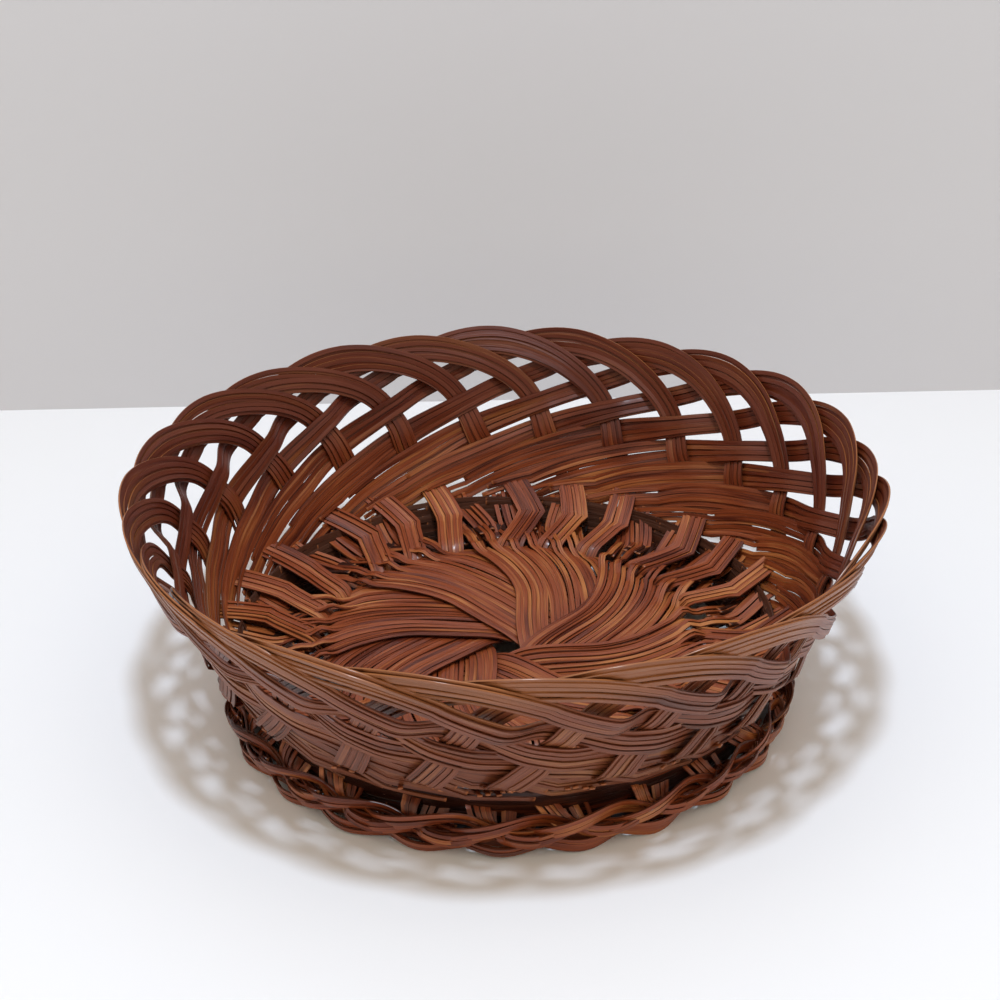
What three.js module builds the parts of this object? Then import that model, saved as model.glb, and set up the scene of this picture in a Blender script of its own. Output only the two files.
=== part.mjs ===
// A round open basket woven from 24 flat bundles of rattan, called stakes. Units are mm, +Z is up.
// The origin is the middle of the foot on the table. Angles are in degrees, anticlockwise from +X.
// One stake is one unbroken bundle: from its cut end in the foot plait it comes up under the floor,
// crosses the floor beside the middle hole, kinks up into the wall, arches over the rim and weaves
// down round the wall to its second cut end.
import * as THREE from 'three';

// Counts
const bandCount = 8;
const stakesPerBand = 3;

// The rattan bundle in the wall
const bundleWidth = 9;
const bundleThickness = 1.8;
const clearance = 0.6;

// The wall, measured to the middle of the woven sheet
const rimRadius = 140;
const rimHeight = 94.7;
const wallFootRadius = 113;
const wallFootHeight = 25.5;
const wallBow = 4.2;
const kneeHeight = 36;
const weaveDip = 4.4;
const weaveDipAngle = 140;

// The floor
const kinkRadius = 96;
const kinkSpread = 11.5;
const floorMiddleHeight = 15.5;
const floorEdgeHeight = 23;
const holeRadius = 5.2;
const floorBundleWidth = 12.6;
const floorBundleGap = 0.4;
const floorBundleThickness = 1.45;
const floorClearance = 0.35;
const bandTurn = 11.3;

// The swap ring of the floor, where the upper bundles dive between the lower ones
const tailSwirl = 10;
const fullWidthRadius = 40;
const sweepRadius = 52;
const thickenRadius = 57;
const stackFullRadius = 62;
const swapRadius = 74.7;
const swapReach = 3.2;
const swapWidth = 3.7;
const swapThickness = 2.6;
const swapStackShare = 0.8;
const fanStartRadius = 80;
const swapEndRadius = 88;
const floorEndRadius = 92;

// The plaited foot
const footRadius = 105.5;
const footFlare = 0.2;
const plaitRise = 8;
const plaitDepth = 3;
const plaitWidth = 5.4;
const plaitThickness = 2.9;
const plaitSpan = 39;
const plaitEntryTurn = 2.25;
const plaitPhase = 135;
const tailBend = 6;
const footSink = 0.5;

// The path of a stake up the wall and over the rim: degrees round from its rim notch, and the share
// of the way up from the kink to the crest
const kinkTurn = -49;
const wallCourse = [
  [-46.5, 0.093],
  [-43, 0.216],
  [-40, 0.355],
  [-38.1, 0.502],
  [-35.3, 0.657],
  [-31, 0.79],
  [-25.2, 0.903],
  [-18.5, 0.977],
  [-11.8, 1],
  [-5.5, 0.98],
  [0, 0.926],
  [5.3, 0.859],
];
const descentEnd = [68, 0.12];
const spreadEndHeight = 60;
const weaveSides = [2.3, -1, 1, -1, -1.6];
const firstCrossing = 3;
const archLayerStart = -28;
const archLayerEnd = 7;
const crestTurn = -11;
const holdShare = 0.75;

// How finely the curves are followed
const riseSteps = 19;
const searchSteps = 400;
const plaitSteps = 16;
const bendSteps = 6;
const sweepStep = 13;
const slopeReach = 0.05;

// Worked out from the sizes above
const stakeCount = bandCount * stakesPerBand;
const stakeTurn = 360 / stakeCount;
const bandStep = 360 / bandCount;
const layerPitch = bundleThickness + clearance;
const floorPitch = floorBundleThickness + floorClearance;
const swapInner = swapRadius - swapReach;
const swapOuter = swapRadius + swapReach;
const kinkInset = wallFootRadius - kinkRadius;
const crestHeight = rimHeight - bundleWidth / 2;
const rimMidRadius = rimRadius - bundleThickness / 2 - (layerPitch * (crestTurn - archLayerStart)) / stakeTurn;
const plaitMiddleHeight = plaitRise + plaitWidth / 2 - footSink;

const radians = THREE.MathUtils.degToRad;
const degrees = THREE.MathUtils.radToDeg;
const lerp = THREE.MathUtils.lerp;
const upwards = new THREE.Vector3(0, 0, 1);

function ramp(value, from, to) {
  return THREE.MathUtils.clamp((value - from) / (to - from), 0, 1);
}

function polar(radius, angle, height) {
  return new THREE.Vector3(radius * Math.cos(radians(angle)), radius * Math.sin(radians(angle)), height);
}

// The woven wall: a surface of revolution, with a dip of the weave at one side
function wallRadius(height, onStakeFoot) {
  const share = (height - wallFootHeight) / (rimHeight - wallFootHeight);
  const inset = onStakeFoot ? kinkInset * (1 - ramp(height, wallFootHeight, kneeHeight)) ** 2 : 0;
  return lerp(wallFootRadius, rimMidRadius, share) + wallBow * share * (share - 1) - inset;
}

function dippedHeight(angle, height) {
  const share = ramp(height, kneeHeight, rimHeight);
  return height + weaveDip * Math.cos(radians(angle - weaveDipAngle)) * Math.sin(Math.PI * share) ** 2;
}

function wallStation(angle, height, layer, onStakeFoot) {
  const z = dippedHeight(angle, height);
  const radius = wallRadius(z, onStakeFoot);
  const slope = (wallRadius(z + slopeReach, onStakeFoot) - radius) / slopeReach;
  const inward = new THREE.Vector2(-1, slope).normalize();
  return {
    point: polar(radius - inward.x * layer, angle, z - inward.y * layer),
    up: polar(inward.x, angle, inward.y),
    width: bundleWidth,
    thickness: bundleThickness,
  };
}

// The course of a stake up the wall and over the rim, then straight down to its cut end
function coursePoint([turn, share]) {
  return new THREE.Vector2(turn, lerp(wallFootHeight, crestHeight, share));
}

const riseCurve = new THREE.SplineCurve([coursePoint([kinkTurn, 0]), ...wallCourse.map(coursePoint)]);
const descentStart = coursePoint(wallCourse.at(-1));
const descentStop = coursePoint(descentEnd);

function descentHeight(turn) {
  const share = (turn - descentStart.x) / (descentStop.x - descentStart.x);
  return lerp(descentStart.y, descentStop.y, share);
}

// The rim notches stand evenly, but the kinks stand closer together in their band
function gatheredTurn(member, height) {
  const share = (1 - ramp(height, wallFootHeight, spreadEndHeight)) ** 2;
  return member * (kinkSpread - stakeTurn) * share;
}

// Layers step outwards place by place round the rim, so that the arches lie on each other
function archLayer(turn) {
  const turned = THREE.MathUtils.clamp(turn, archLayerStart, archLayerEnd) - archLayerStart;
  return (layerPitch * turned) / stakeTurn;
}

function riseStations(notchAngle, member) {
  return riseCurve.getPoints(riseSteps).map(({ x: turn, y: height }) => {
    const angle = notchAngle + turn + gatheredTurn(member, height);
    return wallStation(angle, height, archLayer(turn), turn < archLayerStart);
  });
}

// Where the descent meets the rising part of the stake that stands so many places further round
function crossingTurn(places) {
  const meeting = riseCurve.getPoints(searchSteps).find(({ x, y }) => y >= descentHeight(x + places * stakeTurn));
  return meeting.x + places * stakeTurn;
}

function descentStations(notchAngle) {
  const holdHalf = degrees((bundleWidth * holdShare) / wallRadius(spreadEndHeight, false));
  const stations = [];
  for (const [index, side] of weaveSides.entries()) {
    const middle = crossingTurn(firstCrossing + index);
    for (const edge of [-holdHalf, holdHalf]) {
      const turn = middle + edge;
      stations.push(wallStation(notchAngle + turn, descentHeight(turn), side * layerPitch, false));
    }
  }
  const endLayer = weaveSides.at(-1) * layerPitch;
  stations.push(wallStation(notchAngle + descentStop.x, descentStop.y, endLayer, false));
  return stations;
}

// The floor: eight straight bands pass the middle hole and lie over each other like a pinwheel
function floorHeight(radius) {
  return floorMiddleHeight + (floorEdgeHeight - floorMiddleHeight) * (radius / kinkRadius) ** 3;
}

// How far the layers spread at a radius: past the swap, what lay on top lies underneath
function stackShare(radius) {
  const inner = lerp(1, swapStackShare, ramp(radius, stackFullRadius, swapInner));
  return lerp(inner, -swapStackShare, ramp(radius, swapInner, swapOuter));
}

function floorPoint(bandAngle, side, along, turned) {
  const radius = Math.hypot(side, along);
  const rise = degrees(Math.atan2(along, side)) / bandStep;
  const angle = bandAngle + degrees(Math.atan2(-side, along)) + turned;
  return polar(radius, angle, floorHeight(radius) + floorPitch * rise * stackShare(radius));
}

// The upper halves of the bands curve sideways, most of all halfway out to the swap ring
function swirledTurn(side, along) {
  const share = ramp(Math.hypot(side, along), holeRadius, swapInner);
  const upper = THREE.MathUtils.smoothstep(degrees(Math.atan2(along, side)), -bandStep, bandStep);
  return -4 * tailSwirl * share * (1 - share) * upper;
}

function floorWidth(radius, outerWidth) {
  const narrowed = lerp(floorBundleWidth, swapWidth, ramp(radius, fullWidthRadius, stackFullRadius));
  return lerp(narrowed, outerWidth, ramp(radius, swapEndRadius, kinkRadius));
}

function floorThickness(radius, outerThickness) {
  const thickened = lerp(floorBundleThickness, swapThickness, ramp(radius, thickenRadius, stackFullRadius));
  return lerp(thickened, outerThickness, ramp(radius, swapEndRadius, kinkRadius));
}

const floorRadii = [
  floorEndRadius,
  swapEndRadius,
  (swapEndRadius + swapOuter) / 2,
  swapOuter,
  swapInner,
  (swapInner + stackFullRadius) / 2,
  stackFullRadius,
  thickenRadius,
];

// Distances along a floor chord from the middle: even turns inside, the named radii further out
function floorPlaces(side) {
  const sweep = degrees(Math.acos(side / sweepRadius));
  const steps = Math.ceil((2 * sweep) / sweepStep);
  const inner = Array.from({ length: steps + 1 }, (_, index) =>
    side * Math.tan(radians(sweep - (2 * sweep * index) / steps)),
  );
  const outer = floorRadii.map((radius) => Math.sqrt(radius ** 2 - side ** 2));
  return [...outer, ...inner, ...outer.map((along) => -along).reverse()];
}

function floorStations(bandAngle, side, tailFan, stakeFan) {
  return floorPlaces(side).map((along) => {
    const radius = Math.hypot(side, along);
    const onTail = along > 0;
    const width = floorWidth(radius, onTail ? plaitWidth : bundleWidth);
    const fanned = onTail
      ? tailFan * ramp(radius, fanStartRadius, footRadius)
      : stakeFan * ramp(radius, fanStartRadius, kinkRadius);
    const turned = fanned + swirledTurn(side, along);
    return {
      left: floorPoint(bandAngle, side + width / 2, along, turned),
      right: floorPoint(bandAngle, side - width / 2, along, turned),
      up: upwards,
      thickness: floorThickness(radius, onTail ? plaitThickness : bundleThickness),
    };
  });
}

// The foot: each stake's tail runs one wave of a three-strand plait and stops where the next one starts
function plaitStation(entryAngle, turn) {
  const phase = radians(plaitPhase + (360 * turn) / bandStep);
  const height = plaitMiddleHeight + plaitRise * Math.sin(phase);
  const radius = footRadius + footFlare * height + plaitDepth * Math.sin(2 * phase);
  return {
    point: polar(radius, entryAngle + turn, height),
    up: polar(1, entryAngle + turn, -footFlare).normalize(),
    width: plaitWidth,
    thickness: plaitThickness,
  };
}

function plaitStations(entryAngle) {
  return Array.from({ length: plaitSteps + 1 }, (_, index) =>
    plaitStation(entryAngle, plaitEntryTurn + (plaitSpan * index) / plaitSteps),
  );
}

function middleOf(station) {
  return station.point ?? station.left.clone().lerp(station.right, 0.5);
}

// The bend of the tail from the floor's underside down into the plait
function tailStations(floorEnd, floorNext, plaitStart, plaitNext) {
  const from = middleOf(floorEnd);
  const to = middleOf(plaitStart);
  const leave = from.clone().sub(middleOf(floorNext)).setLength(tailBend).add(from);
  const arrive = to.clone().sub(middleOf(plaitNext)).setLength(tailBend).add(to);
  const bend = new THREE.CubicBezierCurve3(from, leave, arrive, to);
  return bend.getPoints(bendSteps).slice(1, -1).map((point, index) => ({
    point,
    up: floorEnd.up.clone().lerp(plaitStart.up, (index + 1) / bendSteps).normalize(),
    width: plaitWidth,
    thickness: plaitThickness,
  }));
}

// A station's four corners: its two edges, each half a thickness above and below
function corners(stations, index) {
  const station = stations[index];
  let { left, right } = station;
  if (!left) {
    const before = middleOf(stations[Math.max(index - 1, 0)]);
    const after = middleOf(stations[Math.min(index + 1, stations.length - 1)]);
    const half = station.up.clone().cross(after.clone().sub(before)).setLength(station.width / 2);
    left = station.point.clone().add(half);
    right = station.point.clone().sub(half);
  }
  const lift = station.up.clone().multiplyScalar(station.thickness / 2);
  const under = [left.clone().sub(lift), right.clone().sub(lift)];
  const ring = [...under, right.clone().add(lift), left.clone().add(lift)];
  return ring.map(({ x, y, z }) => new THREE.Vector3(x, y, Math.max(z, 0)));
}

// A closed flat bundle through its stations
function bundleGeometry(stations) {
  const rings = stations.map((_, index) => corners(stations, index));
  const faces = [0, 1, 2, 0, 2, 3];
  const last = (rings.length - 1) * 4;
  for (let ring = 0; ring < rings.length - 1; ring++) {
    for (let corner = 0; corner < 4; corner++) {
      const a = ring * 4 + corner;
      const b = ring * 4 + ((corner + 1) % 4);
      faces.push(a, a + 4, b, b, a + 4, b + 4);
    }
  }
  faces.push(last, last + 2, last + 1, last, last + 3, last + 2);
  const geometry = new THREE.BufferGeometry();
  const positions = rings.flat().flatMap((point) => point.toArray());
  geometry.setAttribute('position', new THREE.Float32BufferAttribute(positions, 3));
  geometry.setIndex(faces);
  return geometry;
}

function floorSide(member) {
  const place = member + (stakesPerBand - 1) / 2;
  return holeRadius + floorBundleWidth / 2 + place * (floorBundleWidth + floorBundleGap);
}

function acrossAngle(member) {
  return degrees(Math.asin(floorSide(member) / kinkRadius));
}

function stakeGeometry(band, member) {
  const bandAngle = bandTurn + band * bandStep;
  const kinkAngle = bandAngle + 180 + acrossAngle(0) + member * kinkSpread;
  const entryAngle = bandAngle - acrossAngle(0) - member * stakeTurn;
  const notchAngle = bandAngle + 180 + acrossAngle(0) + member * stakeTurn - kinkTurn;
  const tailFan = entryAngle - (bandAngle - acrossAngle(member));
  const stakeFan = kinkAngle - (bandAngle + 180 + acrossAngle(member));
  const plait = plaitStations(entryAngle);
  const floor = floorStations(bandAngle, floorSide(member), tailFan, stakeFan);
  return bundleGeometry([
    ...plait.toReversed(),
    ...tailStations(floor[0], floor[1], plait[0], plait[1]).reverse(),
    ...floor,
    ...riseStations(notchAngle, member),
    ...descentStations(notchAngle),
  ]);
}

const basket = new THREE.Group();
for (let band = 0; band < bandCount; band++) {
  for (let place = 0; place < stakesPerBand; place++) {
    const rattan = new THREE.MeshStandardMaterial({ color: 0x5e2c1c, roughness: 0.42, metalness: 0 });
    const stake = new THREE.Mesh(stakeGeometry(band, place - (stakesPerBand - 1) / 2), rattan);
    stake.name = `stake_${String(band * stakesPerBand + place + 1).padStart(2, '0')}`;
    basket.add(stake);
  }
}

export default basket;
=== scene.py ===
from math import asin, atan2, ceil, cos, degrees, hypot, pi, radians, sin, sqrt
from random import Random

import bmesh
import bpy
from mathutils import Matrix, Vector, noise


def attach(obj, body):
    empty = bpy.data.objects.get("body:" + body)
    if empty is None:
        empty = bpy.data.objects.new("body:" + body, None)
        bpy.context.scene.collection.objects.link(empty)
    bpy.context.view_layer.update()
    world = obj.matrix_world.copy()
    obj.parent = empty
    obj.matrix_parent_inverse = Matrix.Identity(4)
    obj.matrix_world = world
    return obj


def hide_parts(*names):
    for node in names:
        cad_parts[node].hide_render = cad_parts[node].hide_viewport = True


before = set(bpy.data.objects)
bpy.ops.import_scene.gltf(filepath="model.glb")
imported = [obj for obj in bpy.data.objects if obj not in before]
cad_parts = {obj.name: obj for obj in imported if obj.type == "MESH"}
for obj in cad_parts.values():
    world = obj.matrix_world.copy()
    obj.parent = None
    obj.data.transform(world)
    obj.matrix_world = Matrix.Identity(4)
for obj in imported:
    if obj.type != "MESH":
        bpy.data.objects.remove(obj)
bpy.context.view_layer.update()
METRE = 0.001

# The woven wall, as in the CAD
BANDS = 8
STAKES_PER_BAND = 3
MIDDLE_PLACE = (STAKES_PER_BAND - 1) / 2
STAKE_TURN = 360 / (BANDS * STAKES_PER_BAND)
BAND_STEP = 360 / BANDS
BUNDLE_WIDTH = 9
BUNDLE_THICKNESS = 1.8
CLEARANCE = 0.6
LAYER_PITCH = BUNDLE_THICKNESS + CLEARANCE
WALL_FOOT_RADIUS = 113
WALL_FOOT_HEIGHT = 25.5
WALL_BOW = 4.2
KNEE_HEIGHT = 36
WEAVE_DIP = 4.4
WEAVE_DIP_ANGLE = 140
KINK_RADIUS = 96
KINK_SPREAD = 11.5
KINK_TURN = -49
SPREAD_END_HEIGHT = 60
CREST_TURN = -11
ARCH_LAYER_START = -28
ARCH_LAYER_END = 7
RIM_RADIUS = 140
RIM_HEIGHT = 94.7
CREST_HEIGHT = RIM_HEIGHT - BUNDLE_WIDTH / 2
CREST_LAYER = LAYER_PITCH * (CREST_TURN - ARCH_LAYER_START) / STAKE_TURN
RIM_MID_RADIUS = RIM_RADIUS - BUNDLE_THICKNESS / 2 - CREST_LAYER

# Turns up the wall and over the rim, each with the share of the way up from the kink to the crest
WALL_COURSE = [
    (KINK_TURN, 0),
    (-46.5, 0.093),
    (-43, 0.216),
    (-40, 0.355),
    (-38.1, 0.502),
    (-35.3, 0.657),
    (-31, 0.79),
    (-25.2, 0.903),
    (-18.5, 0.977),
    (-11.8, 1),
    (-5.5, 0.98),
    (0, 0.926),
    (5.3, 0.859),
]
DESCENT_START_TURN = WALL_COURSE[-1][0]
DESCENT_END_TURN = 68
DESCENT_END_SHARE = 0.12

# On which side of each rising stake the descent passes, in layers outwards. Past the first one the
# descent takes DESCENT_SHARE of the layer, and the rising stake gives way by the rest.
WEAVE_SIDES = [2.3, -1, 1, -1, -1.6]
DESCENT_SHARE = 0.6
FIRST_CROSSING = 3

# The floor, as in the CAD
FLOOR_MIDDLE_HEIGHT = 15.5
FLOOR_EDGE_HEIGHT = 23
FLOOR_CURVE = 3
HOLE_RADIUS = 5.2
FLOOR_BUNDLE_WIDTH = 12.6
FLOOR_BUNDLE_GAP = 0.4
FLOOR_SPACING = FLOOR_BUNDLE_WIDTH + FLOOR_BUNDLE_GAP
FLOOR_BUNDLE_THICKNESS = 1.45
FLOOR_CLEARANCE = 0.35
FLOOR_PITCH = FLOOR_BUNDLE_THICKNESS + FLOOR_CLEARANCE
BAND_TURN = 11.3
TAIL_SWIRL = 10
SWAP_RADIUS = 74.7
SWAP_REACH = 3.2
SWAP_SHARE = 0.8
SWAPS = (SWAP_RADIUS - SWAP_REACH, SWAP_RADIUS + SWAP_REACH)
STACK_THINS = (62, SWAPS[0])
FAN_START_RADIUS = 80
FLOOR_END_RADIUS = 92

# The foot, as in the CAD
FOOT_RADIUS = 105.5
FOOT_FLARE = 0.2
PLAIT_ENTRY_TURN = 2.25
PLAIT_PHASE = 135
PLAIT_DEPTH = 3
TAIL_BEND = 6

# The canes' own plait, where each stake parts in two strands
PLAIT_MIDDLE_HEIGHT = 6.9
PLAIT_RISE = 5.4
PLAIT_FALL = 1.6
PLAIT_WIDTH = 10
PLAIT_PARTING = 40
PLAIT_SPAN = 52
PLAIT_TUCK = 3
PLAIT_TUCKS = (44, PLAIT_SPAN)
FOOT_LOOSENESS = 1.5

# The arches and the fold of the rises at the kink
CREST_WIDTH = 11.5
CREST_WIDENS = (-33, -15)
CREST_NARROWS = (-12, DESCENT_START_TURN)
CREST_BULGE = 2
CREST_RISE = 1
CREST_BULGES = (DESCENT_START_TURN, -10)
FOLD_WIDTH = 12
FOLD_OPENS = (27.5, 44)

# The descents, and the ends that fray out beyond the solids' cut end
DESCENT_WIDTH = 8
DESCENT_END_WIDTH = 12.6
DESCENT_WIDENS = (22, 46)
DESCENT_SAG = 4.5
SAG_SKEW = 0.7
DESCENT_DROOP = 2.2
DESCENT_DROOPS = (55, DESCENT_END_TURN)
HOLD_SHARE = 0.4
FRAY_TURN = 21
FRAY_HEIGHT = 24.5
FRAY_INSET = 7
FRAY_STEPS = 16

# The spread of the canes on the floor
FAN_PITCH = 16.8
FAN_OPENS = (35, 70)
FAN_CLOSES = (FAN_START_RADIUS, FLOOR_END_RADIUS)
TAIL_TURNS = (FAN_START_RADIUS, FOOT_RADIUS)
TAIL_WIDTH = 20
TAIL_WIDENS = (78, FLOOR_END_RADIUS)
LEG_TURNS = (40, KINK_RADIUS)
LEG_WIDTH = 10.5
LEG_NARROWS = (45, 75)
EDGES_EVEN = (60, 90)
LAP_HEIGHT = 4.6
LAP_RISES = (67, 79)
LAP_FALLS = (95, 80)

# The tail's canes that are cut off under the wall
CUT_START_RADIUS = 78
CUT_END_RADIUS = 112
CUT_WIDTH = 17
CUT_WIDENS = (CUT_START_RADIUS, KINK_RADIUS)
CUT_START_LIFT = -1.2
CUT_END_LIFT = 4
CUT_RISES = (86, CUT_END_RADIUS)

# The canes that line the plait from behind, darkened with painted shade
LINING_WIDTH = 25
LINING_HEIGHT = 15.8
LINING_RADIUS = 102
LINING_WAVE = 1
LINING_RUN = 5

# How finely the curves are followed
RISE_STEPS = 66
DESCENT_STEPS = 66
SEARCH_STEPS = 400
FLOOR_STEP = 2.2
PLAIT_STEPS = 46
BEND_STEPS = 9

# One cane: where x times y passes CORNER_AREA, a vertex is a corner of the section
CANE_WIDTH = 2
CANE_THICKNESS = 0.8
CANE_SIDES = 8
CORNER_AREA = 0.1
CORNER_STRETCH = (1.24, 1.15)
FLAT_SHARE = 0.9
SAME_PLACE = 0.01
WIDTH_SPREAD = (0.88, 1.14)
THICKNESS_SPREAD = (0.85, 1.15)
GRAIN_REACH = 5000
SHAPE_KEY = 5000

# The three kinds of canes in a stake: how many, their first random key and their tone; the lining's
# tone below 0 gives it painted shade
LONG = {"canes": 8, "first_key": 0, "tone": 0}
LINING = {"canes": 13, "first_key": 2000, "tone": -1}
CUT = {"canes": 8, "first_key": 1000, "tone": 0}

# How a cane lies in its bundle; TAIL_LOOSENS, FRAY_LEAD and FRAY_SHORTEST count stations
LIFT_SPREAD = (-0.2, 0.2)
LEAN_SPREAD = (-0.1, 0.2)
CUT_LIFT_SPREAD = (-0.8, 1.2)
LAYER_SPLIT = 0.32
LAYER_SPLITS = (15, 10)
START_CHOICES = 2
END_CHOICES = 3
CUT_START_CHOICES = 4
FRAY_CHANCE = 0.9
FRAY_SHORTEST = 6
FRAY_DROOP = 8
FRAY_LEAD = 4
FRAY_LOOSENESS = 3
TAIL_LOOSENESS = 2
TAIL_LOOSENS = (56, 36)

# How far and in what wavelength the stakes and canes wander: each key has its own line of noise
STAKE_ASIDE = 1.2
STAKE_ASIDE_WAVE = 45
STAKE_ABOVE = 2
STAKE_ABOVE_WAVE = 33
STAKE_ABOVE_KEY = 0.4
STAKE_FREED = (KINK_TURN + 4, KINK_TURN + 20)
CANE_ACROSS = 0.075
CANE_ACROSS_WAVE = 70
CANE_LIFT = 0.35
CANE_LIFT_WAVE = 60
CANE_LIFT_KEY = 0.5
CANE_LEAN = 0.25
CANE_LEAN_WAVE = 80
CANE_LEAN_KEY = 0.7
NOISE_ROW = 3.71
NOISE_SHEET = 1.37
NOISE_START = 11


def ramp(value, start, end):
    return min(max((value - start) / (end - start), 0), 1)


def smooth(share):
    return share * share * (3 - 2 * share)


def hump(share):
    """0 at both ends and 1 in the middle."""
    return 4 * share * (1 - share)


def lerp(a, b, share):
    return a + (b - a) * share


def polar(radius, angle, height):
    return Vector((radius * cos(radians(angle)), radius * sin(radians(angle)), height))


def drift(key, along, wave):
    """A smooth wander between about -1 and 1, the same on every run."""
    return noise.noise(Vector((along / wave, key * NOISE_ROW, key * NOISE_SHEET + NOISE_START)))


def spline(points, place):
    """The point of a curve through all the points, where place counts points."""
    index = min(int(place), len(points) - 2)
    share = place - index
    p0 = Vector(points[max(index - 1, 0)])
    p1 = Vector(points[index])
    p2 = Vector(points[index + 1])
    p3 = Vector(points[min(index + 2, len(points) - 1)])
    v1 = (p2 - p0) / 2
    v2 = (p3 - p1) / 2
    cubic = (2 * p1 - 2 * p2 + v1 + v2) * share**3
    square = (3 * p2 - 3 * p1 - 2 * v1 - v2) * share**2
    return cubic + square + v1 * share + p1


# The woven wall, the same surface as in the CAD
def wall_radius(height, on_foot):
    share = (height - WALL_FOOT_HEIGHT) / (RIM_HEIGHT - WALL_FOOT_HEIGHT)
    inset = 0
    if on_foot:
        foot = 1 - ramp(height, WALL_FOOT_HEIGHT, KNEE_HEIGHT)
        inset = (WALL_FOOT_RADIUS - KINK_RADIUS) * foot
    return lerp(WALL_FOOT_RADIUS, RIM_MID_RADIUS, share) + WALL_BOW * share * (share - 1) - inset


def wall_station(angle, height, layer, width, on_foot):
    """Where the bundle's middle passes, which way is up for its canes, and its width there."""
    share = ramp(height, KNEE_HEIGHT, RIM_HEIGHT)
    z = height + WEAVE_DIP * cos(radians(angle - WEAVE_DIP_ANGLE)) * sin(pi * share) ** 2
    radius = wall_radius(z, on_foot)
    slope = wall_radius(z + 1, on_foot) - radius
    inward = Vector((-1, slope)).normalized()
    point = polar(radius - inward.x * layer, angle, z - inward.y * layer)
    return {"middle": point, "up": polar(inward.x, angle, inward.y), "width": width}


def course_height(share):
    return lerp(WALL_FOOT_HEIGHT, CREST_HEIGHT, share)


COURSE = [(turn, course_height(share)) for turn, share in WALL_COURSE]
DESCENT_START_HEIGHT = COURSE[-1][1]
DESCENT_END_HEIGHT = course_height(DESCENT_END_SHARE)


def course_point(share):
    """Turn and height at a share of the way up the wall and over the rim."""
    return spline(COURSE, (len(COURSE) - 1) * share)


def descent_height(turn):
    share = ramp(turn, DESCENT_START_TURN, DESCENT_END_TURN)
    straight = lerp(DESCENT_START_HEIGHT, DESCENT_END_HEIGHT, share)
    return straight - DESCENT_SAG * sin(pi * share**SAG_SKEW)


def gathered_turn(member, height):
    """The kinks stand closer together in their band than the notches of the rim."""
    share = (1 - ramp(height, WALL_FOOT_HEIGHT, SPREAD_END_HEIGHT)) ** 2
    return member * (KINK_SPREAD - STAKE_TURN) * share


def arch_layer(turn):
    turned = min(max(turn, ARCH_LAYER_START), ARCH_LAYER_END) - ARCH_LAYER_START
    return LAYER_PITCH * turned / STAKE_TURN


def wander(number, turn):
    """How far one stake strays from its even course: degrees round and millimetres up."""
    free = ramp(turn, *STAKE_FREED)
    aside = STAKE_ASIDE * free * drift(number, turn, STAKE_ASIDE_WAVE)
    above = STAKE_ABOVE * free * drift(number + STAKE_ABOVE_KEY, turn, STAKE_ABOVE_WAVE)
    return aside, above


def crossing_turn(places):
    """Where the descent meets the rise of the stake that stands so many places further round."""
    for index in range(SEARCH_STEPS):
        turn, height = course_point(index / SEARCH_STEPS)
        if height >= descent_height(turn + places * STAKE_TURN):
            return turn + places * STAKE_TURN
    return 0


def weave_knots():
    """Turns and layers of the descent: on each crossing it holds its side for a little."""
    hold = degrees(BUNDLE_WIDTH * HOLD_SHARE / wall_radius(SPREAD_END_HEIGHT, False))
    knots = [(DESCENT_START_TURN, arch_layer(DESCENT_START_TURN))]
    for index, side in enumerate(WEAVE_SIDES):
        middle = crossing_turn(FIRST_CROSSING + index)
        layer = (side if index == 0 else side * DESCENT_SHARE) * LAYER_PITCH
        knots += [(middle - hold, layer), (middle + hold, layer)]
    return knots


def rise_knots():
    """Turns and layers of the rise: it gives way to the other side where a descent crosses it."""
    knots = []
    for index, side in enumerate(WEAVE_SIDES[1:], start=1):
        places = FIRST_CROSSING + index
        own_turn = crossing_turn(places) - places * STAKE_TURN
        knots.insert(0, (own_turn, -side * (1 - DESCENT_SHARE) * LAYER_PITCH))
    return [(KINK_TURN, 0)] + knots + [(ARCH_LAYER_START, 0)]


DESCENT_KNOTS = weave_knots()
RISE_KNOTS = rise_knots()


def knotted_layer(knots, turn, beyond):
    """The layer between the two knots round this turn, or the one beyond them all."""
    for (start, before), (end, after) in zip(knots, knots[1:]):
        if turn <= end:
            return lerp(before, after, smooth(ramp(turn, start, end)))
    return beyond


def descent_layer(turn):
    return knotted_layer(DESCENT_KNOTS, turn, DESCENT_KNOTS[-1][1])


def rise_layer(turn):
    return knotted_layer(RISE_KNOTS, turn, arch_layer(turn))


def rise_width(turn, height):
    crest = ramp(turn, *CREST_WIDENS)
    width = lerp(lerp(BUNDLE_WIDTH, CREST_WIDTH, crest), DESCENT_WIDTH, ramp(turn, *CREST_NARROWS))
    return lerp(FOLD_WIDTH, width, ramp(height, WALL_FOOT_HEIGHT, SPREAD_END_HEIGHT))


def rise_stations(notch_angle, member, number):
    stations = []
    for index in range(RISE_STEPS + 1):
        turn, height = course_point(index / RISE_STEPS)
        aside, above = wander(number, turn)
        angle = notch_angle + turn + gathered_turn(member, height) + aside
        bulge = ramp(turn, *CREST_WIDENS) * smooth(ramp(turn, *CREST_BULGES))
        layer = rise_layer(turn) + CREST_BULGE * bulge
        raised = height + above + CREST_RISE * bulge
        on_foot = turn < ARCH_LAYER_START
        station = wall_station(angle, raised, layer, rise_width(turn, height), on_foot)
        station["fold"] = 1 - ramp(height, *FOLD_OPENS)
        stations.append(station)
    return stations


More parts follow.
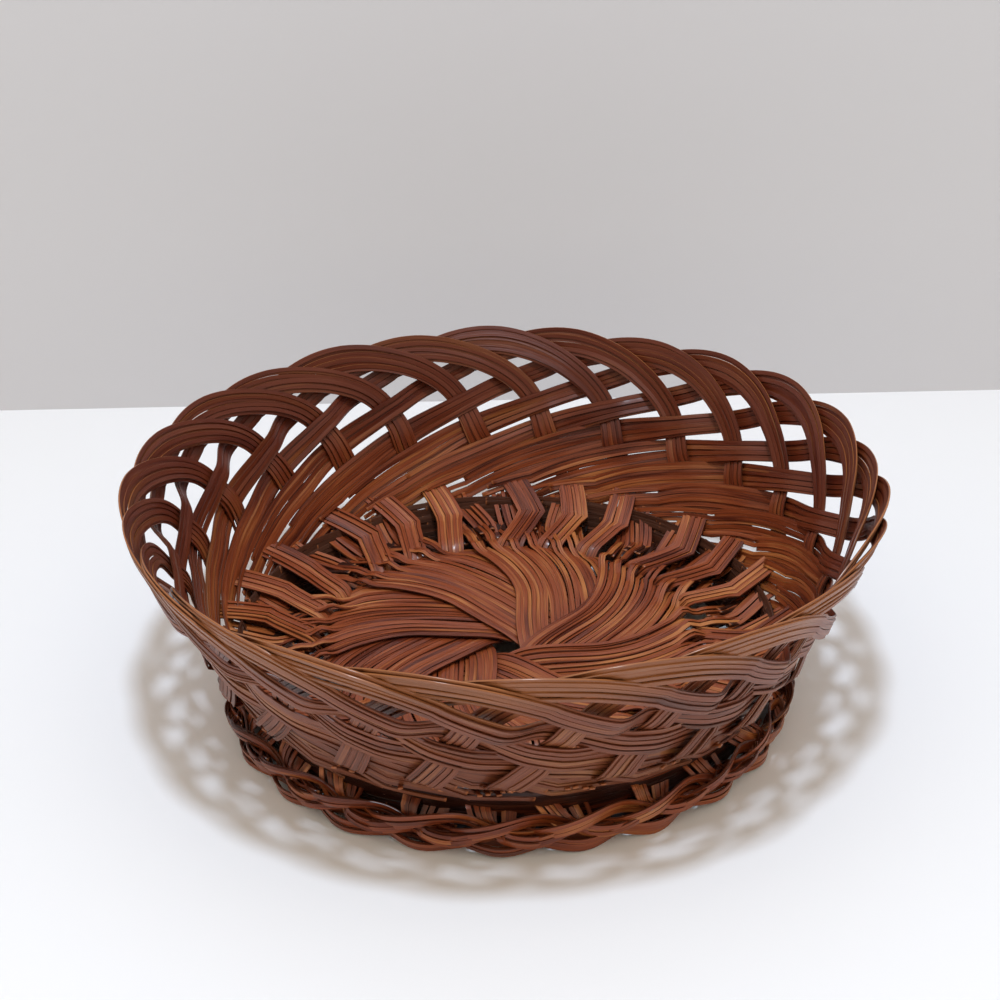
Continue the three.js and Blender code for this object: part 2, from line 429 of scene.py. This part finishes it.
def descent_stations(notch_angle, number):
    """The stations down the wall, and on to where the longest canes fray out behind the feet."""
    stations = []
    for index in range(1, DESCENT_STEPS + 1):
        turn = lerp(DESCENT_START_TURN, DESCENT_END_TURN, index / DESCENT_STEPS)
        aside, above = wander(number, turn)
        angle = notch_angle + turn + aside
        width = lerp(DESCENT_WIDTH, DESCENT_END_WIDTH, ramp(turn, *DESCENT_WIDENS))
        droop = DESCENT_DROOP * ramp(turn, *DESCENT_DROOPS) ** 2
        height = descent_height(turn) + above - droop
        stations.append(wall_station(angle, height, descent_layer(turn), width, False))
    return stations + fray_stations(angle, height)


def fray_stations(start_angle, start_height):
    layer = descent_layer(DESCENT_END_TURN)
    stations = []
    for index in range(1, FRAY_STEPS + 1):
        share = index / FRAY_STEPS
        angle = start_angle + FRAY_TURN * share
        height = lerp(start_height, FRAY_HEIGHT, share)
        station = wall_station(angle, height, layer, DESCENT_END_WIDTH, False)
        station["middle"] -= polar(FRAY_INSET * share, angle, 0)
        stations.append(station)
    return stations


# The floor
def floor_height(radius):
    edge = (radius / KINK_RADIUS) ** FLOOR_CURVE
    return lerp(FLOOR_MIDDLE_HEIGHT, FLOOR_EDGE_HEIGHT, edge)


def stack_share(radius):
    """How far the layers spread: past the swap, what lay on top lies underneath."""
    inner = lerp(1, SWAP_SHARE, ramp(radius, *STACK_THINS))
    return lerp(inner, -SWAP_SHARE, smooth(ramp(radius, *SWAPS)))


def floor_point(band_angle, side, along, turned):
    """A point beside and along the band's own line, moved round the basket by a turn."""
    radius = hypot(side, along)
    rise = degrees(atan2(along, side)) / BAND_STEP
    angle = band_angle + degrees(atan2(-side, along)) + turned
    return polar(radius, angle, floor_height(radius) + FLOOR_PITCH * rise * stack_share(radius))


def swirled_turn(side, along):
    """The upper halves of the bands curve sideways, most of all halfway out to the swap."""
    share = ramp(hypot(side, along), HOLE_RADIUS, SWAPS[0])
    upper = smooth(ramp(degrees(atan2(along, side)), -BAND_STEP, BAND_STEP))
    return -TAIL_SWIRL * hump(share) * upper


def fan_spread(radius):
    """How much wider apart the canes lie than beside the hole, so that the fans close the floor."""
    opened = smooth(ramp(radius, *FAN_OPENS)) * (1 - ramp(radius, *FAN_CLOSES))
    return lerp(1, FAN_PITCH / FLOOR_SPACING, opened)


def lap_share(radius, along):
    """How far the uppermost canes of a tail run over the rising stakes at the floor's edge."""
    if along > 0:
        return smooth(ramp(radius, *LAP_RISES)) * smooth(ramp(radius, *LAP_FALLS))
    return 0


def floor_station(band_angle, side, width, spread, along, turned):
    """A station on the floor; towards the fold its edges come to lie at one radius."""
    radius = hypot(side, along)
    middle = floor_side(0) + (side - floor_side(0)) * spread
    edges = []
    for edge in (middle + width / 2, middle - width / 2):
        run = along
        if along < 0:
            run = lerp(along, -sqrt(max(radius**2 - edge**2, 0)), ramp(radius, *EDGES_EVEN))
        edges.append(floor_point(band_angle, edge, run, turned))
    left, right = edges
    lap = lap_share(radius, along)
    up = Vector((0, 0, 1))
    return {"left": left, "right": right, "middle": (left + right) / 2, "up": up, "lap": lap}


def floor_stations(band_angle, member, tail_fan, stake_fan):
    side = floor_side(member)
    reach = sqrt(FLOOR_END_RADIUS**2 - side**2)
    steps = ceil(2 * reach / FLOOR_STEP)
    stations = []
    for index in range(steps + 1):
        along = lerp(reach, -reach, index / steps)
        radius = hypot(side, along)
        if along > 0:
            spread = fan_spread(radius)
            fanned = tail_fan * ramp(radius, *TAIL_TURNS)
            width = lerp(FLOOR_BUNDLE_WIDTH * spread, TAIL_WIDTH, ramp(radius, *TAIL_WIDENS))
        else:
            spread = 1
            fanned = stake_fan * ramp(radius, *LEG_TURNS)
            width = lerp(FLOOR_BUNDLE_WIDTH, LEG_WIDTH, ramp(radius, *LEG_NARROWS))
        turned = fanned + swirled_turn(side, along)
        stations.append(floor_station(band_angle, side, width, spread, along, turned))
    return stations


def cut_stations(band_angle, member, tail_fan):
    """The canes of the tail that are cut off under the wall instead of going into the plait."""
    side = floor_side(member)
    start = sqrt(CUT_END_RADIUS**2 - side**2)
    stop = sqrt(CUT_START_RADIUS**2 - side**2)
    steps = ceil((start - stop) / FLOOR_STEP)
    stations = []
    for index in range(steps + 1):
        along = lerp(start, stop, index / steps)
        radius = hypot(side, along)
        turned = tail_fan * ramp(radius, *TAIL_TURNS) + swirled_turn(side, along)
        width = lerp(FLOOR_BUNDLE_WIDTH, CUT_WIDTH, ramp(radius, *CUT_WIDENS))
        station = floor_station(band_angle, side, width, fan_spread(radius), along, turned)
        lift = Vector((0, 0, lerp(CUT_START_LIFT, CUT_END_LIFT, ramp(radius, *CUT_RISES))))
        for name in ("left", "right", "middle"):
            station[name] += lift
        stations.append(station)
    return stations


# The foot
def plait_station(entry_angle, turn, parting):
    phase = radians(PLAIT_PHASE + parting + 360 * turn / BAND_STEP)
    swing = PLAIT_RISE if sin(phase) > 0 else PLAIT_FALL
    height = PLAIT_MIDDLE_HEIGHT + swing * sin(phase)
    radius = FOOT_RADIUS + FOOT_LOOSENESS + FOOT_FLARE * height + PLAIT_DEPTH * sin(2 * phase)
    radius -= PLAIT_TUCK * ramp(turn, *PLAIT_TUCKS)
    return foot_station(radius, entry_angle + turn, height, PLAIT_WIDTH)


def lining_station(entry_angle, turn):
    height = LINING_HEIGHT + LINING_WAVE * sin(radians(360 * turn / BAND_STEP))
    return foot_station(LINING_RADIUS, entry_angle + turn, height, LINING_WIDTH)


def foot_station(radius, angle, height, width):
    up = polar(1, angle, -FOOT_FLARE).normalized()
    return {"middle": polar(radius, angle, height), "up": up, "width": width}


def round_the_foot(station_at):
    span = range(PLAIT_STEPS + 1)
    return [station_at(PLAIT_ENTRY_TURN + PLAIT_SPAN * index / PLAIT_STEPS) for index in span]


def bend_stations(floor_end, floor_next, plait_start, plait_next):
    """The tail's bend from under the floor down into the plait."""
    start = floor_end["middle"]
    end = plait_start["middle"]
    leave = start + (start - floor_next["middle"]).normalized() * TAIL_BEND
    arrive = end + (end - plait_next["middle"]).normalized() * TAIL_BEND
    stations = []
    for index in range(1, BEND_STEPS):
        share = index / BEND_STEPS
        rest = 1 - share
        middle = rest**3 * start + 3 * rest**2 * share * leave
        middle += 3 * rest * share**2 * arrive + share**3 * end
        up = floor_end["up"].lerp(plait_start["up"], share).normalized()
        width = lerp(TAIL_WIDTH, PLAIT_WIDTH, share**2)
        stations.append({"middle": middle, "up": up, "width": width})
    return stations


# The whole course of a stake, from its place in the band: member is -1, 0 or 1
def floor_side(member):
    """How far the stake's middle passes beside the middle of the floor."""
    return HOLE_RADIUS + FLOOR_BUNDLE_WIDTH / 2 + (member + MIDDLE_PLACE) * FLOOR_SPACING


def across_angle(member):
    return degrees(asin(floor_side(member) / KINK_RADIUS))


def with_edges(stations):
    """Gives each station its left and right edge, square to the way the stake runs.

    At the fold into the wall the edges lie side by side round the basket instead.
    """
    for index, station in enumerate(stations):
        if "left" not in station:
            middle = station["middle"]
            before = stations[max(index - 1, 0)]["middle"]
            after = stations[min(index + 1, len(stations) - 1)]["middle"]
            square = station["up"].cross(after - before).normalized()
            round_about = Vector((-middle.y, middle.x, 0)).normalized()
            if round_about.dot(square) < 0:
                round_about = -round_about
            half = square.lerp(round_about, station.get("fold", 0)) * station["width"] / 2
            station["left"] = middle + half
            station["right"] = middle - half
    return stations


def stake_courses(band, member, number):
    """Four runs of stations: the two halves of the stake, which part in the plait, the canes that
    line the plait, and those cut off under the wall."""
    band_angle = BAND_TURN + band * BAND_STEP
    kink_angle = band_angle + 180 + across_angle(0) + member * KINK_SPREAD
    entry_angle = band_angle - across_angle(0) - member * STAKE_TURN
    notch_angle = band_angle + 180 + across_angle(0) + member * STAKE_TURN - KINK_TURN
    tail_fan = entry_angle - (band_angle - across_angle(member))
    stake_fan = kink_angle - (band_angle + 180 + across_angle(member))
    floor = floor_stations(band_angle, member, tail_fan, stake_fan)
    wall = rise_stations(notch_angle, member, number) + descent_stations(notch_angle, number)
    courses = []
    for parting in (-PLAIT_PARTING, PLAIT_PARTING):
        plait = round_the_foot(lambda turn: plait_station(entry_angle, turn, parting))
        bend = bend_stations(floor[0], floor[1], plait[0], plait[1])
        courses.append(with_edges(plait[::-1] + bend[::-1] + floor + wall))
    lining = round_the_foot(lambda turn: lining_station(entry_angle, turn))
    bend = bend_stations(floor[0], floor[1], lining[0], lining[1])
    courses.append(with_edges(lining[::-1] + bend[::-1] + floor[:LINING_RUN]))
    return courses + [cut_stations(band_angle, member, tail_fan)]


# The canes
def cane_ends(kind, frayed, count, dice):
    """The first station of a cane, the one after its last, and how far above its bundle it lies."""
    start = dice.randrange(0, START_CHOICES)
    stop = count - dice.randrange(0, END_CHOICES)
    above = 0
    if kind is CUT:
        start = dice.randrange(0, CUT_START_CHOICES)
        above = dice.uniform(*CUT_LIFT_SPREAD)
    if frayed:
        stop -= dice.randrange(0, FRAY_STEPS - FRAY_SHORTEST)
    elif kind is LONG:
        stop -= FRAY_STEPS
    return start, stop, above


def looseness(kind, index, count):
    """How freely a cane wanders in its bundle: most in the plait and where its end frays out."""
    if kind is LONG:
        plaited = TAIL_LOOSENESS * ramp(index, *TAIL_LOOSENS)
        return 1 + plaited + FRAY_LOOSENESS * ramp(index, count - FRAY_STEPS - FRAY_LEAD, count)
    return 1


def cane_path(kind, stations, cane, key):
    """The middle line of one of the bundle's canes, with its up vectors and the way from its start.

    Where the bundle is narrow, every other cane lies on top of its neighbours. On the floor every
    other pair runs on over the rising stakes before it dives below them.
    """
    dice = Random(key)
    count = len(stations)
    frayed = kind is LONG and dice.random() < FRAY_CHANCE
    droop = dice.uniform(0, FRAY_DROOP)
    place = (cane + 0.5) / kind["canes"]
    lift = dice.uniform(*LIFT_SPREAD)
    lean = dice.uniform(*LEAN_SPREAD)
    layer = LAYER_SPLIT if cane % 2 else -LAYER_SPLIT
    start, stop, above = cane_ends(kind, frayed, count, dice)
    path = []
    along = 0
    for index in range(start, stop):
        station = stations[index]
        if index > start:
            along += (station["middle"] - stations[index - 1]["middle"]).length
        left, right, up = station["left"], station["right"], station["up"]
        loose = looseness(kind, index, count)
        across = place + CANE_ACROSS * loose * drift(key, along, CANE_ACROSS_WAVE)
        height = lift + above + CANE_LIFT * loose * drift(key + CANE_LIFT_KEY, along, CANE_LIFT_WAVE)
        height += layer * ramp((left - right).length, *LAYER_SPLITS)
        height += LAP_HEIGHT * station.get("lap", 0) * (cane // 2 % 2)
        point = left.lerp(right, across) + up * height
        if kind is LONG:
            point.z -= droop * ramp(index, count - FRAY_STEPS, count) ** 2
        point.z = max(point.z, CANE_WIDTH / 2)
        leaning = lean + CANE_LEAN * drift(key + CANE_LEAN_KEY, along, CANE_LEAN_WAVE)
        path.append((point, (up + (right - left).normalized() * leaning).normalized(), along))
    return path


def is_corner(place):
    return abs(place[0] * place[1]) > CORNER_AREA


def section_place(corner):
    """A ring vertex's place in the cane's section, which is nearly a rectangle."""
    if is_corner(corner):
        return Vector((corner.x * CORNER_STRETCH[0], corner.y * CORNER_STRETCH[1], 0))
    return Vector((corner.x, corner.y * FLAT_SHARE, 0))


def cane_mesh(path, width, thickness, tone, offset):
    """One cane: a ring drawn out along the path, with both ends closed."""
    mesh = bmesh.new()
    section = mesh.verts.layers.float_vector.new("cane")
    tint = mesh.verts.layers.float.new("tone")
    cut = mesh.verts.layers.float.new("cut")
    ring = bmesh.ops.create_circle(mesh, cap_ends=True, radius=0.5, segments=CANE_SIDES)["verts"]
    for vert in ring:
        vert[section] = section_place(vert.co)
        vert[tint] = tone
    edges = list(mesh.edges)
    for index, (point, up, along) in enumerate(path):
        if index:
            made = bmesh.ops.extrude_edge_only(mesh, edges=edges)["geom"]
            ring = [item for item in made if isinstance(item, bmesh.types.BMVert)]
            edges = [item for item in made if isinstance(item, bmesh.types.BMEdge)]
        ahead = path[min(index + 1, len(path) - 1)][0] - path[max(index - 1, 0)][0]
        side = up.cross(ahead).normalized()
        over = ahead.cross(side).normalized()
        for vert in ring:
            x, y = vert[section].xy
            vert.co = (point + side * x * width + over * y * thickness) * METRE
            vert[section] = Vector((x, y, along + offset))
            vert[cut] = float(index in (0, len(path) - 1))
    bmesh.ops.contextual_create(mesh, geom=edges)
    bmesh.ops.recalc_face_normals(mesh, faces=mesh.faces)
    for edge in mesh.edges:
        one, other = (vert[section].xy for vert in edge.verts)
        edge.smooth = not is_corner(one) or (one - other).length > SAME_PLACE
    return mesh


def add_cane(bundle, kind, stations, cane, key):
    dice = Random(key + SHAPE_KEY)
    width = CANE_WIDTH * dice.uniform(*WIDTH_SPREAD)
    thickness = CANE_THICKNESS * dice.uniform(*THICKNESS_SPREAD)
    tone = kind["tone"] + dice.random()
    path = cane_path(kind, stations, cane, key)
    made = cane_mesh(path, width, thickness, tone, dice.uniform(0, GRAIN_REACH))
    single = bpy.data.meshes.new("single cane")
    made.to_mesh(single)
    made.free()
    bundle.from_mesh(single)
    bpy.data.meshes.remove(single)


def add_canes(bundle, kind, courses, number):
    """All canes of one kind, shared out over the courses that they follow."""
    count = kind["canes"]
    for cane in range(count):
        course = courses[cane * len(courses) // count]
        add_cane(bundle, kind, course, cane, kind["first_key"] + number * count + cane)


def stake_piece(name, band, member, number, material):
    lower_course, upper_course, lining_course, cut_course = stake_courses(band, member, number)
    bundle = bmesh.new()
    add_canes(bundle, LONG, [lower_course, upper_course], number)
    add_canes(bundle, LINING, [lining_course], number)
    add_canes(bundle, CUT, [cut_course], number)
    for face in bundle.faces:
        face.smooth = True
    return placed(name, bundle, material)


def placed(name, mesh, material):
    """A new object of the finished mesh, in the scene."""
    data = bpy.data.meshes.new(name)
    mesh.to_mesh(data)
    mesh.free()
    data.materials.append(material)
    made = bpy.data.objects.new(name, data)
    bpy.context.scene.collection.objects.link(made)
    return made


# Materials
class Socket:
    """A node's output that adds, multiplies and mixes like a number."""

    def __init__(self, paint, output):
        self.paint = paint
        self.output = output

    def __add__(self, other):
        return self.paint.math("ADD", self, other)

    def __radd__(self, other):
        return self.paint.math("ADD", other, self)

    def __sub__(self, other):
        return self.paint.math("SUBTRACT", self, other)

    def __rsub__(self, other):
        return self.paint.math("SUBTRACT", other, self)

    def __mul__(self, other):
        return self.paint.math("MULTIPLY", self, other)

    def __rmul__(self, other):
        return self.paint.math("MULTIPLY", other, self)


class Paint:
    """A new material's node tree."""

    def __init__(self, name):
        self.material = bpy.data.materials.new(name)
        self.material.use_nodes = True
        self.tree = self.material.node_tree
        self.tree.nodes.clear()

    def node(self, kind, settings, inputs):
        made = self.tree.nodes.new(kind)
        for name, value in settings.items():
            setattr(made, name, value)
        for name, value in inputs.items():
            if isinstance(value, Socket):
                self.tree.links.new(value.output, made.inputs[name])
            else:
                made.inputs[name].default_value = value
        return made

    def value(self, kind, settings, inputs, output=0):
        return Socket(self, self.node(kind, settings, inputs).outputs[output])

    def math(self, operation, first, second):
        return self.value("ShaderNodeMath", {"operation": operation}, {0: first, 1: second})

    def mix(self, share, first, second):
        """From the first colour to the second as share goes from 0 to 1."""
        settings = {"data_type": "RGBA"}
        return self.value("ShaderNodeMix", settings, {0: share, 6: first, 7: second}, 2)

    def noise(self, vector, scale, detail):
        inputs = {"Vector": vector, "Scale": scale, "Detail": detail}
        return self.value("ShaderNodeTexNoise", {}, inputs)

    def between(self, value, low, high):
        """0 on the low side and 1 on the high side, smoothly; low may be the larger number."""
        settings = {"interpolation_type": "SMOOTHSTEP"}
        inputs = {"Value": value, "From Min": low, "From Max": high}
        return self.value("ShaderNodeMapRange", settings, inputs)

    def attribute(self, name, output):
        return self.value("ShaderNodeAttribute", {"attribute_name": name}, {}, output)

    def part(self, vector, index):
        return self.value("ShaderNodeSeparateXYZ", {}, {0: vector}, index)

    def stretched(self, vector, factors):
        inputs = {0: vector, 1: factors}
        return self.value("ShaderNodeVectorMath", {"operation": "MULTIPLY"}, inputs)

    def surface(self, shader):
        """Ends the tree with this shader's output."""
        self.node("ShaderNodeOutputMaterial", {}, {"Surface": shader})


# The stain's colours, and the near-black colours of the painted shade at the cane edges and on the
# lining
DARK_STAIN = (0.07, 0.009, 0.003, 1)
MIDDLE_STAIN = (0.265, 0.053, 0.013, 1)
LIGHT_STAIN = (0.5, 0.18, 0.048, 1)
PAINTED_EDGE_SHADE = (0.016, 0.003, 0.0015, 1)
LINING_PAINTED_SHADE = (0.012, 0.004, 0.002, 1)
DARK_PITH = (0.06, 0.015, 0.006, 1)
LIGHT_PITH = (0.16, 0.06, 0.03, 1)
CUT_WOOD = (0.36, 0.11, 0.035, 1)

# The stain's depth: what its shares come from, and where it turns from dark to light
TONE_SHARE = 0.4
PATCH_SHARE = 0.8
GRAIN_SHARE = 0.9
AREA_SHARE = 0.7
DEPTH_LEVEL = 0.92
DARK_TO_MIDDLE = (0.05, 0.5)
MIDDLE_TO_LIGHT = (0.48, 0.96)
GRAIN_STRETCH = (6, 3, 0.05)
GRAIN_DETAIL = 3
PATCH_STRETCH = (0.5, 0.3, 0.03)
PATCH_DETAIL = 2
AREA_SCALE = 24
AREA_DETAIL = 1

# Parts of a cane's section, which runs from -0.5 to 0.5 both ways; EDGES holds squares, and bounds
# the painted shade at each cane's edges
EDGES = (0.11, 0.26)
UNDERSIDE = (0.1, -0.35)
UPPER_SIDE = (0.1, 0.4)

# The cut attribute is 1 at a cane's ends, and the tone of a lining cane is below 0, which gives it
# painted shade
CUT_TIP = (0.55, 0.95)
LINING_SHADE_TONES = (0, -0.2)

# Levels of the basket, in metres
RIM_LEVELS = (0.074, 0.088)
WALL_LEVELS = (0.024, 0.076)
FOOT_LEVELS = (0.03, 0.012)
LOW_LEVELS = (0.055, 0.025)

# How strongly each part takes its colour: painted shade on the cane edges, inside the wall, on the
# foot, low on the outside and on the lining, painted light on the outside of the rim
EDGE_SHADE_STRENGTH = 0.8
EDGE_LESS_BELOW = 0.35
WALL_SHADE_STRENGTH = 0.8
FOOT_SHADE_STRENGTH = 0.2
LOW_SHADE_STRENGTH = 0.35
RIM_LIGHT_STRENGTH = 0.62
LINING_SHADE_STRENGTH = 0.75
PITH_STRENGTH = 0.5
CUT_STRENGTH = 0.8

# The varnish
ROUGHNESS = 0.34
GRAIN_ROUGHNESS = 0.22
UNDER_ROUGHNESS = 0.12
COAT = 0.7
COAT_LESS_INSIDE = 0.55
COAT_ROUGHNESS = 0.2
SHINE = 0.3
REFRACTION = 1.5
BUMP_STRENGTH = 0.5
BUMP_DISTANCE = 0.0003


def stain_colour(paint, tone, grain, place, spot):
    """Dark to light, from cane to cane, along each cane and over patches of the basket."""
    patch = paint.noise(paint.stretched(place, PATCH_STRETCH), 1, PATCH_DETAIL)
    area = paint.noise(spot, AREA_SCALE, AREA_DETAIL)
    fine = tone * TONE_SHARE + patch * PATCH_SHARE + grain * GRAIN_SHARE
    depth = fine + area * AREA_SHARE - DEPTH_LEVEL
    colour = paint.mix(paint.between(depth, *DARK_TO_MIDDLE), DARK_STAIN, MIDDLE_STAIN)
    return paint.mix(paint.between(depth, *MIDDLE_TO_LIGHT), colour, LIGHT_STAIN)


def shade_and_light_by_level(paint, colour, level, upper, under):
    """Paints shade on the inside of the wall, on the foot and low on the outside, and paints light
    on the outside of the rim.
    """
    # Painted shade: the inside of the wall, the foot and the low outside are darkened towards the
    # dark stain
    wall = paint.between(level, *WALL_LEVELS) * upper * WALL_SHADE_STRENGTH
    foot = paint.between(level, *FOOT_LEVELS) * FOOT_SHADE_STRENGTH
    low = paint.between(level, *LOW_LEVELS) * under * LOW_SHADE_STRENGTH
    # Painted highlight: the outside of the rim is lightened towards the light stain
    rim = paint.between(level, *RIM_LEVELS) * (1 - upper) * RIM_LIGHT_STRENGTH
    colour = paint.mix(wall + foot + low, colour, DARK_STAIN)
    return paint.mix(rim, colour, LIGHT_STAIN)


def stained_rattan():
    paint = Paint("stained rattan")
    place = paint.attribute("cane", "Vector")
    tone = paint.attribute("tone", "Fac")
    cut = paint.attribute("cut", "Fac")
    spot = paint.value("ShaderNodeTexCoord", {}, {}, "Object")
    level = paint.part(spot, 2)
    across = paint.part(place, 0)
    height = paint.part(place, 1)
    under = paint.between(height, *UNDERSIDE)
    upper = paint.between(height, *UPPER_SIDE)
    grain = paint.noise(paint.stretched(place, GRAIN_STRETCH), 1, GRAIN_DETAIL)
    colour = stain_colour(paint, tone, grain, place, spot)
    # Painted shade: each cane darkens towards its edges, for the shadow between canes, and less so
    # on its underside
    edge = paint.between(across * across, *EDGES) * (EDGE_SHADE_STRENGTH - under * EDGE_LESS_BELOW)
    colour = shade_and_light_by_level(paint, paint.mix(edge, colour, PAINTED_EDGE_SHADE), level, upper, under)
    # Painted shade: the lining canes, marked by a tone below 0, are darkened almost to black
    lining = paint.between(tone, *LINING_SHADE_TONES) * LINING_SHADE_STRENGTH
    colour = paint.mix(lining, colour, LINING_PAINTED_SHADE)
    colour = paint.mix(under * PITH_STRENGTH, colour, paint.mix(grain, DARK_PITH, LIGHT_PITH))
    colour = paint.mix(paint.between(cut, *CUT_TIP) * CUT_STRENGTH, colour, CUT_WOOD)
    relief = {"Height": grain, "Strength": BUMP_STRENGTH, "Distance": BUMP_DISTANCE}
    inside = paint.between(level, *WALL_LEVELS) * upper
    inputs = {
        "Base Color": colour,
        "Roughness": ROUGHNESS + grain * GRAIN_ROUGHNESS + under * UNDER_ROUGHNESS,
        "Normal": paint.value("ShaderNodeBump", {}, relief),
        "IOR": REFRACTION,
        "Coat Weight": grain * (COAT - inside * COAT_LESS_INSIDE),
        "Coat Roughness": COAT_ROUGHNESS,
        "Specular IOR Level": SHINE,
    }
    paint.surface(paint.value("ShaderNodeBsdfPrincipled", {}, inputs))
    return paint.material


# Stage, lights and camera, in metres
TABLE_COLOUR = (0.865, 0.868, 0.9, 1)
TABLE_ROUGHNESS = 0.6
WALL_COLOUR = (0.588, 0.58, 0.605, 1)
WALL_ROUGHNESS = 0.9
STAGE_REACH = 4
BACKDROP_PLACE = 0.272
ROOM_COLOUR = (1, 0.885, 0.705, 1)
ROOM_STRENGTH = 0.85
LAMP_PLACE = (-0.004, -0.31, 1.3)
LAMP_SIZE = 0.15
LAMP_POWER = 10.5
LAMP_COLOUR = (0.72, 0.85, 1)
CAMERA_PLACE = (-0.0016, -0.5695, 0.3801)
CAMERA_LENS = 61.2
CAMERA_SENSOR = 36
CAMERA_DOWN = 27.67
CAMERA_ROLL = -1.19


def plain_paint(name, colour, roughness):
    """A plain colour that is clear when it is seen from behind."""
    paint = Paint(name)
    inputs = {"Base Color": colour, "Roughness": roughness}
    shader = paint.value("ShaderNodeBsdfPrincipled", {}, inputs)
    clear = paint.value("ShaderNodeBsdfTransparent", {}, {})
    behind = paint.value("ShaderNodeNewGeometry", {}, {}, "Backfacing")
    paint.surface(paint.value("ShaderNodeMixShader", {}, {0: behind, 1: shader, 2: clear}))
    return paint.material


def stage_sheet(name, corner, across, up, material):
    """A flat sheet from one corner, facing the side that across turns to up about."""
    mesh = bmesh.new()
    bmesh.ops.create_grid(mesh, x_segments=1, y_segments=1, size=0.5)
    for vert in mesh.verts:
        vert.co = corner + across * (vert.co.x + 0.5) + up * (vert.co.y + 0.5)
    sheet = placed(name, mesh, material)


def build_stage():
    across = Vector((2 * STAGE_REACH, 0, 0))
    back = Vector((0, 2 * STAGE_REACH, 0))
    up = Vector((0, 0, STAGE_REACH))
    table = plain_paint("table", TABLE_COLOUR, TABLE_ROUGHNESS)
    wall = plain_paint("wall", WALL_COLOUR, WALL_ROUGHNESS)
    stage_sheet("floor", Vector((-STAGE_REACH, -STAGE_REACH, 0)), across, back, table)
    stage_sheet("backdrop", Vector((-STAGE_REACH, BACKDROP_PLACE, 0)), across, up, wall)


def light_room():
    room = bpy.data.worlds.new("soft room")
    bpy.context.scene.world = room
    room.use_nodes = True
    background = room.node_tree.nodes["Background"]
    background.inputs["Color"].default_value = ROOM_COLOUR
    background.inputs["Strength"].default_value = ROOM_STRENGTH


def hang_lamp():
    """A round soft lamp above the table, aimed at the basket's foot."""
    data = bpy.data.lights.new("ceiling lamp", "AREA")
    data.shape = "DISK"
    data.size = LAMP_SIZE
    data.energy = LAMP_POWER
    data.color = LAMP_COLOUR
    lamp = bpy.data.objects.new("ceiling lamp", data)
    lamp.location = LAMP_PLACE
    lamp.rotation_euler = (-Vector(LAMP_PLACE)).to_track_quat("-Z", "Y").to_euler()
    bpy.context.scene.collection.objects.link(lamp)


def place_camera():
    data = bpy.data.cameras.new("camera")
    data.lens = CAMERA_LENS
    data.sensor_width = CAMERA_SENSOR
    camera = bpy.data.objects.new("camera", data)
    pitch = Matrix.Rotation(radians(90 - CAMERA_DOWN), 4, "X")
    roll = Matrix.Rotation(radians(CAMERA_ROLL), 4, "Z")
    camera.matrix_world = Matrix.Translation(CAMERA_PLACE) @ pitch @ roll
    bpy.context.scene.collection.objects.link(camera)
    bpy.context.scene.camera = camera


def build_basket():
    material = stained_rattan()
    for band in range(BANDS):
        for place in range(STAKES_PER_BAND):
            number = band * STAKES_PER_BAND + place + 1
            node = f"stake_{number:02d}"
            piece = stake_piece(f"{node}_canes", band, place - MIDDLE_PLACE, number, material)
            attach(piece, "root")
            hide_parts(node)


bpy.context.scene.view_settings.view_transform = "Standard"
build_basket()
build_stage()
light_room()
hang_lamp()
place_camera()
